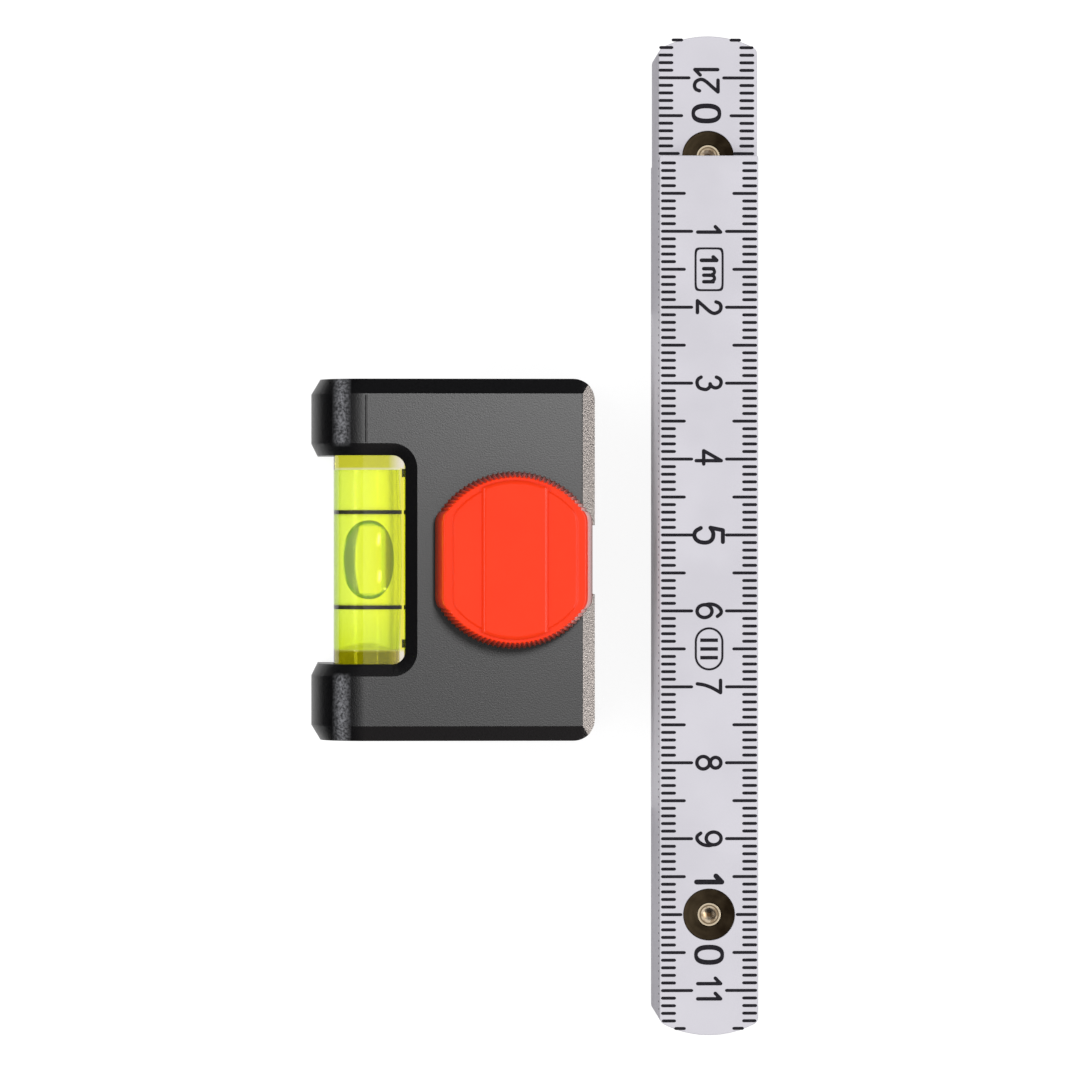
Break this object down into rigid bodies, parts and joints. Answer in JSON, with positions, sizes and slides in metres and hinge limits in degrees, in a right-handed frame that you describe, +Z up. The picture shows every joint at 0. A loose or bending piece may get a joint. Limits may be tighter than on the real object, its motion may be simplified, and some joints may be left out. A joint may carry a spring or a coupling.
{
  "type": "folding rule with level",
  "caption": "Folding rule of riveted plastic legs, lying folded beside its clip-on spirit level with a yellow vial and a red clamping knob.",
  "frame": {"origin": "centre of the underside of the pair as it lies on a table, at the centre of its bounding box", "axes": "+X from the level to the rule, +Y along the rule towards the joint under leg 1's square end, +Z up from the table"},
  "size_m": [0.059, 0.1318, 0.0239],
  "materials": {
    "rule_plastic": "satin pale grey, printed scale",
    "washer_bronze": "dark browned, turned",
    "rivet_brass": "bright rolled",
    "spring_steel": "bright",
    "body_plastic": "fine spark-eroded grain",
    "vial_clear": "clear polished",
    "vial_liquid": "clear fluorescent yellow-green",
    "bubble_air": "clear",
    "index_black": "printed",
    "insert_brass": "turned",
    "screw_steel": "zinc plated",
    "knob_plastic": "satin signal red"
  },
  "bodies": {
    "rule_leg_1": {"leg_1": "rule_plastic", "front_washer_1": "washer_bronze", "detent_spring_1": "spring_steel", "hollow_rivet_1": "rivet_brass"},
    "rule_leg_2": {"leg_2": "rule_plastic", "front_washer_2": "washer_bronze", "detent_spring_2": "spring_steel", "hollow_rivet_2": "rivet_brass", "back_washer_1": "washer_bronze"},
    "rule_leg_3": {"leg_3": "rule_plastic", "front_washer_3": "washer_bronze", "detent_spring_3": "spring_steel", "hollow_rivet_3": "rivet_brass", "back_washer_2": "washer_bronze"},
    "rule_leg_4": {"leg_4": "rule_plastic", "front_washer_4": "washer_bronze", "detent_spring_4": "spring_steel", "hollow_rivet_4": "rivet_brass", "back_washer_3": "washer_bronze"},
    "rule_leg_5": {"leg_5": "rule_plastic", "front_washer_5": "washer_bronze", "detent_spring_5": "spring_steel", "hollow_rivet_5": "rivet_brass", "back_washer_4": "washer_bronze"},
    "rule_leg_6": {"leg_6": "rule_plastic", "front_washer_6": "washer_bronze", "detent_spring_6": "spring_steel", "hollow_rivet_6": "rivet_brass", "back_washer_5": "washer_bronze"},
    "rule_leg_7": {"leg_7": "rule_plastic", "front_washer_7": "washer_bronze", "detent_spring_7": "spring_steel", "hollow_rivet_7": "rivet_brass", "back_washer_6": "washer_bronze"},
    "rule_leg_8": {"leg_8": "rule_plastic", "front_washer_8": "washer_bronze", "detent_spring_8": "spring_steel", "hollow_rivet_8": "rivet_brass", "back_washer_7": "washer_bronze"},
    "rule_leg_9": {"leg_9": "rule_plastic", "front_washer_9": "washer_bronze", "detent_spring_9": "spring_steel", "hollow_rivet_9": "rivet_brass", "back_washer_8": "washer_bronze"},
    "rule_leg_10": {"leg_10": "rule_plastic", "back_washer_9": "washer_bronze"},
    "level": {"level_body": "body_plastic", "vial_block": "vial_clear", "vial_plug": "vial_clear", "vial_liquid": "vial_liquid", "vial_rings": "index_black", "threaded_insert": "insert_brass"},
    "bubble": {"vial_bubble": "bubble_air"},
    "pad": {"pressure_pad": "screw_steel"},
    "knob": {"clamp_knob": "knob_plastic", "clamp_screw": "screw_steel", "pad_retaining_ring": "spring_steel"}
  },
  "joints": [
    {"name": "fold_9", "type": "hinge", "parent": "rule_leg_10", "child": "rule_leg_9", "pos_m": [0.023, -0.05, 0.0022], "axis": [0, 0, -1], "range_deg": [0, 180]},
    {"name": "fold_8", "type": "hinge", "parent": "rule_leg_9", "child": "rule_leg_8", "pos_m": [0.023, 0.05, 0.0044], "axis": [0, 0, 1], "range_deg": [0, 180]},
    {"name": "fold_7", "type": "hinge", "parent": "rule_leg_8", "child": "rule_leg_7", "pos_m": [0.023, -0.05, 0.0066], "axis": [0, 0, -1], "range_deg": [0, 180]},
    {"name": "fold_6", "type": "hinge", "parent": "rule_leg_7", "child": "rule_leg_6", "pos_m": [0.023, 0.05, 0.0088], "axis": [0, 0, 1], "range_deg": [0, 180]},
    {"name": "fold_5", "type": "hinge", "parent": "rule_leg_6", "child": "rule_leg_5", "pos_m": [0.023, -0.05, 0.011], "axis": [0, 0, -1], "range_deg": [0, 180]},
    {"name": "fold_4", "type": "hinge", "parent": "rule_leg_5", "child": "rule_leg_4", "pos_m": [0.023, 0.05, 0.0132], "axis": [0, 0, 1], "range_deg": [0, 180]},
    {"name": "fold_3", "type": "hinge", "parent": "rule_leg_4", "child": "rule_leg_3", "pos_m": [0.023, -0.05, 0.0154], "axis": [0, 0, -1], "range_deg": [0, 180]},
    {"name": "fold_2", "type": "hinge", "parent": "rule_leg_3", "child": "rule_leg_2", "pos_m": [0.023, 0.05, 0.0176], "axis": [0, 0, 1], "range_deg": [0, 180]},
    {"name": "fold_1", "type": "hinge", "parent": "rule_leg_2", "child": "rule_leg_1", "pos_m": [0.023, -0.05, 0.0198], "axis": [0, 0, -1], "range_deg": [0, 180]},
    {"name": "level_lift", "type": "slide", "parent": "rule_leg_10", "child": "level", "axis": [0, 0, 1], "range_m": [0, 0.05]},
    {"name": "bubble_drift", "type": "hinge", "parent": "level", "child": "bubble", "pos_m": [-0.02175, -0.0033, -0.23715], "axis": [1, 0, 0], "range_deg": [-0.68, 0.68], "stiffness_Nm_per_rad": 0.002},
    {"name": "pad_feed", "type": "slide", "parent": "level", "child": "pad", "axis": [0, 0, -1], "range_m": [0, 0.0022]},
    {"name": "knob_turn", "type": "hinge", "parent": "pad", "child": "knob", "pos_m": [-0.0026, -0.0033, 0.018], "axis": [0, 0, -1], "range_deg": [0, 792.5]}
  ],
  "couplings": [
    {"joint": "knob_turn", "follows": "pad_feed", "rad_per_m": 6283.2}
  ]
}
